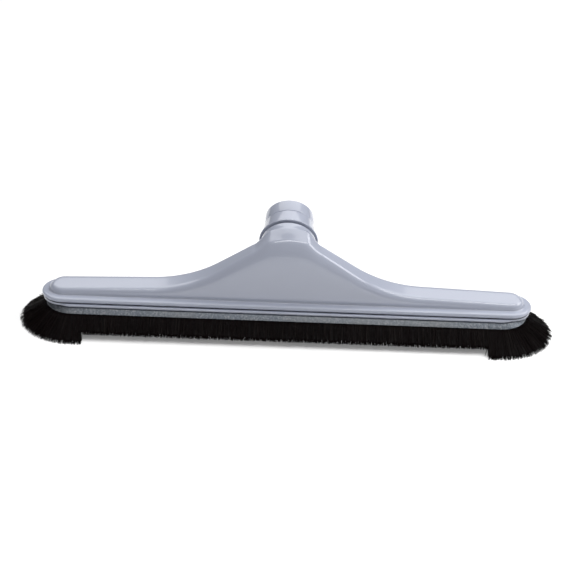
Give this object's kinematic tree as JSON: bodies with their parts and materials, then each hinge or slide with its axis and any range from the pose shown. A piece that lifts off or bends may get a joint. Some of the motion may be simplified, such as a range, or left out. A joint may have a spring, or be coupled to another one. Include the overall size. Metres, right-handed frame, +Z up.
{
  "type": "manual vacuum head",
  "caption": "Wide grey plastic vacuum head with a humped body, a low swivel hose cuff at the back and a flared black bristle skirt trimmed shorter along the front.",
  "frame": {"origin": "on the floor plane, under the middle of the whole head's box, hose cuff included", "axes": "+X along the head's width, +Y towards the back, where the hose cuff points, +Z up"},
  "size_m": [0.4168, 0.0925, 0.0877],
  "materials": {
    "housing_plastic": "glossy moulded grey",
    "bristle_hair": "black filaments",
    "strip_metal": "crimped galvanised strip",
    "fastener_steel": "plated",
    "seal_rubber": "matte black",
    "washer_plastic": "dark acetal"
  },
  "bodies": {
    "head": {"upper_housing": "housing_plastic", "housing_gasket": "seal_rubber", "base_plate": "housing_plastic", "base_screws": "fastener_steel", "brush_retainer": "strip_metal", "retainer_screws": "fastener_steel", "front_channel": "strip_metal", "rear_channel": "strip_metal", "left_channel": "strip_metal", "right_channel": "strip_metal", "front_core_wire": "fastener_steel", "rear_core_wire": "fastener_steel", "left_core_wire": "fastener_steel", "right_core_wire": "fastener_steel", "front_bristles": "bristle_hair", "rear_bristles": "bristle_hair", "left_bristles": "bristle_hair", "right_bristles": "bristle_hair", "cuff_washer": "washer_plastic", "cuff_seal": "seal_rubber", "cuff_snap_ring": "fastener_steel"},
    "cuff": {"hose_cuff": "housing_plastic"}
  },
  "joints": [
    {"name": "cuff_swivel", "type": "hinge", "parent": "head", "child": "cuff", "pos_m": [0, 0.01407, 0.0625], "axis": [0, 0.9703, 0.2419], "continuous": true}
  ]
}
